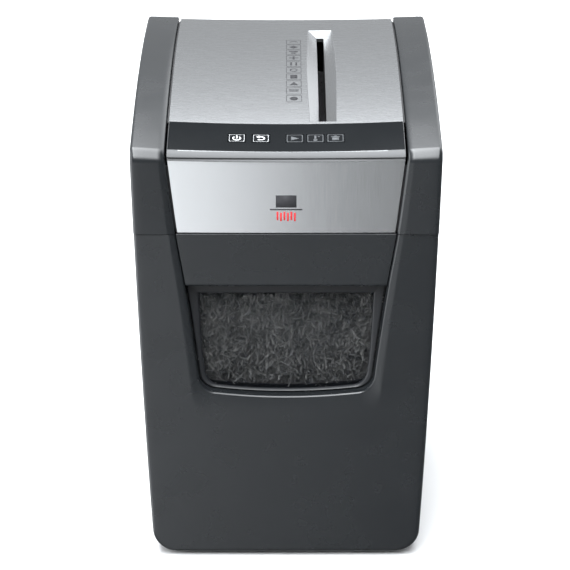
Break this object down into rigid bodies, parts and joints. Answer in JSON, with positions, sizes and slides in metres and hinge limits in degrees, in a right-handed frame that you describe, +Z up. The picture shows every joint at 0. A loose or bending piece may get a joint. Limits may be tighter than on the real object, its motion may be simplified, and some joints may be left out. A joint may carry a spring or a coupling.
{
  "type": "paper shredder",
  "caption": "Slim floor-standing cross-cut paper shredder: silver top with an offset slot, control strip, charcoal body and a pull-out bin with a smoked window.",
  "frame": {"origin": "on the floor, at the centre of the footprint", "axes": "+Z up, the front with the window faces -Y, +X to the right of a person facing the front"},
  "size_m": [0.27, 0.34, 0.4245],
  "materials": {
    "charcoal_plastic": "satin, fine grain",
    "silver_panel": "brushed silver finish",
    "dark_plastic": "matte",
    "gloss_strip": "glossy",
    "keys": "glossy with white icon",
    "lens": "glossy, translucent",
    "steel": "machined",
    "bronze": "sintered bronze",
    "cutter_steel": "hardened, oiled",
    "nylon": "natural nylon",
    "laminations": "laminated steel",
    "circuit_board": "solder mask",
    "components": "moulded",
    "red_plastic": "satin",
    "rubber_feet": "matte",
    "window_plastic": "smoked, clear",
    "paper": "shredded"
  },
  "bodies": {
    "head_and_cabinet": {"left_cover": "charcoal_plastic", "right_cover": "charcoal_plastic", "rear_cover": "charcoal_plastic", "top_panel": "silver_panel", "top_frame": "dark_plastic", "front_band": "silver_panel", "front_frame": "dark_plastic", "control_strip": "gloss_strip", "indicator_lenses": "lens", "head_base": "dark_plastic", "front_side_plate": "steel", "rear_side_plate": "steel", "tie_rods": "steel", "rod_nuts": "steel", "plate_screws": "steel", "front_bushes": "bronze", "rear_bushes": "bronze", "stripper_comb_left": "dark_plastic", "stripper_comb_right": "dark_plastic", "throat_guide_left": "dark_plastic", "throat_guide_right": "dark_plastic", "idler_pins": "steel", "gear_end_plate": "steel", "motor_stator": "laminations", "motor_bracket": "steel", "motor_bolts": "steel", "brush_holders": "bronze", "control_board": "circuit_board", "board_components": "components", "power_board": "circuit_board", "power_components": "components", "paper_sensor": "dark_plastic", "safety_switch": "dark_plastic", "switch_housing": "dark_plastic", "cord_gland": "dark_plastic", "cabinet_left_wall": "charcoal_plastic", "cabinet_right_wall": "charcoal_plastic", "cabinet_back_wall": "charcoal_plastic", "cabinet_floor": "charcoal_plastic", "feet": "rubber_feet"},
    "bin": {"bin_tub": "dark_plastic", "bin_front": "charcoal_plastic", "grip_panel": "charcoal_plastic", "bin_window": "window_plastic", "window_frame": "dark_plastic", "shredded_paper": "paper"},
    "left_cutter": {"cutter_left": "cutter_steel", "main_gear": "nylon", "sync_gear_left": "nylon"},
    "right_cutter": {"cutter_right": "cutter_steel", "sync_gear_right": "nylon"},
    "near_idler": {"idler_gear_near": "nylon"},
    "far_idler": {"idler_gear_far": "nylon"},
    "motor": {"motor_rotor": "steel", "motor_fan": "dark_plastic", "motor_pinion": "steel"},
    "power_key": {"power_button": "keys"},
    "reverse_key": {"reverse_button": "keys"},
    "rocker": {"mains_rocker": "red_plastic"},
    "plunger": {"safety_plunger": "red_plastic"}
  },
  "joints": [
    {"name": "bin_slide", "type": "slide", "parent": "head_and_cabinet", "child": "bin", "axis": [0, -1, 0], "range_m": [0, 0.29]},
    {"name": "cutter_left_spin", "type": "hinge", "parent": "head_and_cabinet", "child": "left_cutter", "pos_m": [0.0135, 0, 0.348], "axis": [0, 1, 0], "continuous": true},
    {"name": "cutter_right_spin", "type": "hinge", "parent": "head_and_cabinet", "child": "right_cutter", "pos_m": [0.0515, 0, 0.348], "axis": [0, 1, 0], "continuous": true},
    {"name": "near_idler_spin", "type": "hinge", "parent": "head_and_cabinet", "child": "near_idler", "pos_m": [-0.02934, 0, 0.35555], "axis": [0, 1, 0], "continuous": true},
    {"name": "far_idler_spin", "type": "hinge", "parent": "head_and_cabinet", "child": "far_idler", "pos_m": [-0.05753, 0, 0.34529], "axis": [0, 1, 0], "continuous": true},
    {"name": "motor_spin", "type": "hinge", "parent": "head_and_cabinet", "child": "motor", "pos_m": [-0.08823, 0, 0.34961], "axis": [0, 1, 0], "continuous": true},
    {"name": "power_press", "type": "slide", "parent": "head_and_cabinet", "child": "power_key", "axis": [0, 0.2607, -0.9654], "range_m": [0, 0.0008], "stiffness_N_per_m": 900, "springref_m": -0.0004},
    {"name": "reverse_press", "type": "slide", "parent": "head_and_cabinet", "child": "reverse_key", "axis": [0, 0.2607, -0.9654], "range_m": [0, 0.0008], "stiffness_N_per_m": 900, "springref_m": -0.0004},
    {"name": "mains_rocker_tilt", "type": "hinge", "parent": "head_and_cabinet", "child": "rocker", "pos_m": [0.084, 0.1643, 0.336], "axis": [1, 0, 0], "range_deg": [0, 20]},
    {"name": "safety_plunger_slide", "type": "slide", "parent": "head_and_cabinet", "child": "plunger", "axis": [0, -1, 0], "range_m": [0, 0.00203]}
  ],
  "couplings": [
    {"joint": "cutter_right_spin", "follows": "cutter_left_spin", "ratio": -1},
    {"joint": "near_idler_spin", "follows": "cutter_left_spin", "ratio": -3.1429},
    {"joint": "far_idler_spin", "follows": "cutter_left_spin", "ratio": 12.571},
    {"joint": "motor_spin", "follows": "cutter_left_spin", "ratio": -52.381},
    {"joint": "safety_plunger_slide", "follows": "bin_slide", "ratio": 0.007}
  ]
}
